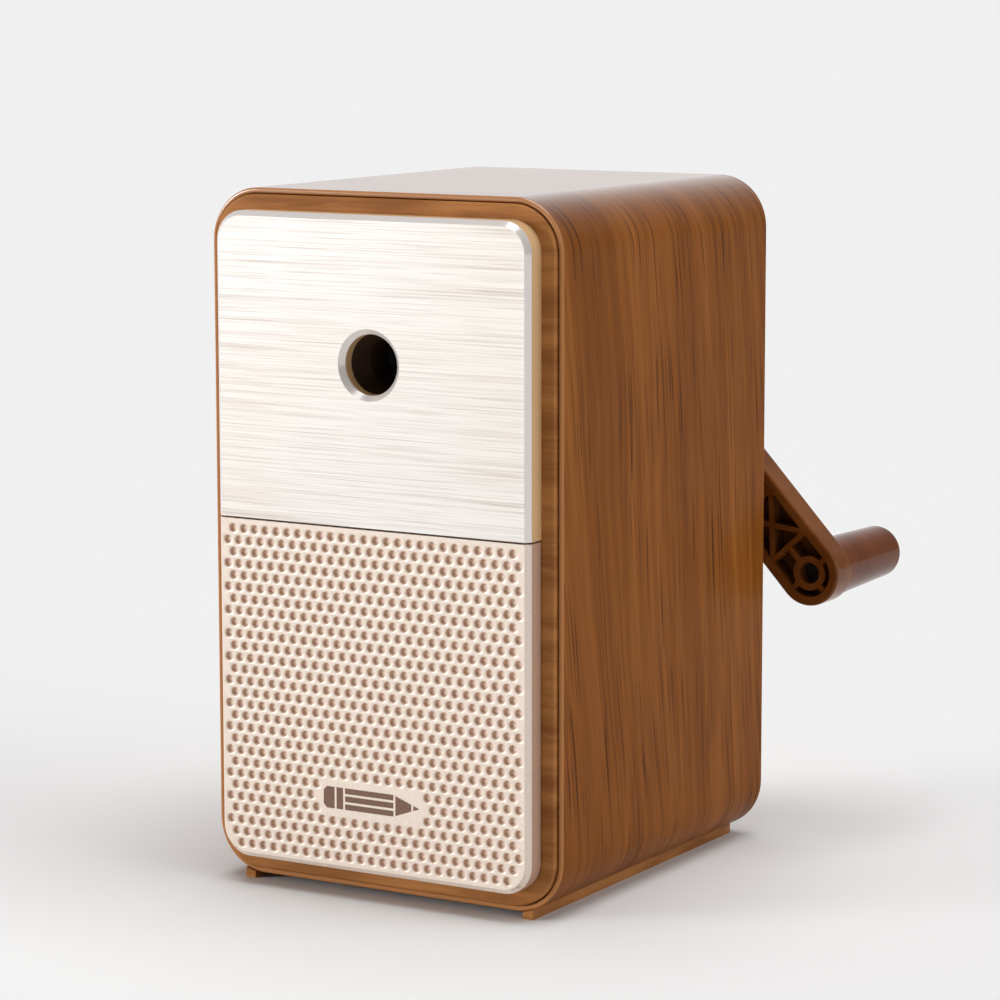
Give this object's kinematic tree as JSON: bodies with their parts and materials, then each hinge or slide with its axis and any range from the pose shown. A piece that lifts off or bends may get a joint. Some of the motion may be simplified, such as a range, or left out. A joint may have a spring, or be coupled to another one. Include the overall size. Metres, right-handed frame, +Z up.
{
  "type": "pencil sharpener",
  "caption": "Hand-cranked desktop pencil sharpener: wood-effect housing, metal-look face with a pencil hole, dimpled shavings drawer and a rear crank that drives a planetary helical cutter.",
  "frame": {"origin": "on the table, under the middle of the housing between its two foot rails", "axes": "+Z up, -Y towards the user, out of the pencil hole; +X to the right seen from the front"},
  "size_m": [0.0842, 0.1186, 0.125],
  "materials": {
    "wood_effect": "satin wood-grain film on plastic",
    "brown_trim": "satin moulded brown plastic",
    "gold_plastic": "fine metallic champagne plastic",
    "brushed_face": "horizontally brushed, bright cut bevel",
    "cream_panel": "satin champagne, dimpled",
    "tray_plastic": "moulded",
    "dark_plastic": "moulded, dark brown",
    "bearing_plastic": "natural acetal",
    "crank_plastic": "glossy red-brown",
    "die_cast": "die cast, as moulded",
    "cutter_steel": "hardened and ground",
    "bright_steel": "bright zinc plated"
  },
  "bodies": {
    "housing": {"sleeve": "wood_effect", "foot_rail_left": "brown_trim", "foot_rail_right": "brown_trim", "front_frame": "brown_trim", "rear_cover": "brown_trim", "face_carrier": "gold_plastic", "face_plate": "brushed_face", "pencil_guide": "dark_plastic", "chassis": "dark_plastic", "gear_housing": "die_cast", "front_bush": "bearing_plastic", "ring_gear": "die_cast", "rear_bush": "bearing_plastic", "face_screws": "bright_steel", "frame_screws": "bright_steel", "housing_screws": "bright_steel", "rear_cover_screws": "bright_steel"},
    "crank": {"crank_arm": "crank_plastic", "crank_screw": "bright_steel", "knob_pin": "bright_steel", "spindle": "bright_steel", "cutter_carrier": "die_cast", "cutter_axle": "bright_steel", "axle_set_screw": "bright_steel"},
    "cutter": {"helical_cutter": "cutter_steel", "cutter_pinion": "cutter_steel"},
    "knob": {"knob": "crank_plastic"},
    "drawer": {"drawer_front": "cream_panel", "drawer_tray": "tray_plastic", "drawer_screws": "bright_steel"}
  },
  "joints": [
    {"name": "crank_turn", "type": "hinge", "parent": "housing", "child": "crank", "pos_m": [0, 0, 0.0954], "axis": [0, 1, 0], "continuous": true},
    {"name": "cutter_spin", "type": "hinge", "parent": "crank", "child": "cutter", "pos_m": [0, 0.04919, 0.0954], "axis": [0, 0.9816, -0.1908], "continuous": true},
    {"name": "knob_spin", "type": "hinge", "parent": "crank", "child": "knob", "pos_m": [0.04213, 0.0506, 0.04991], "axis": [0, 1, 0], "continuous": true},
    {"name": "drawer_slide", "type": "slide", "parent": "housing", "child": "drawer", "axis": [0, -1, 0], "range_m": [0, 0.058]}
  ],
  "couplings": [
    {"joint": "cutter_spin", "follows": "crank_turn", "ratio": -2.9231}
  ]
}
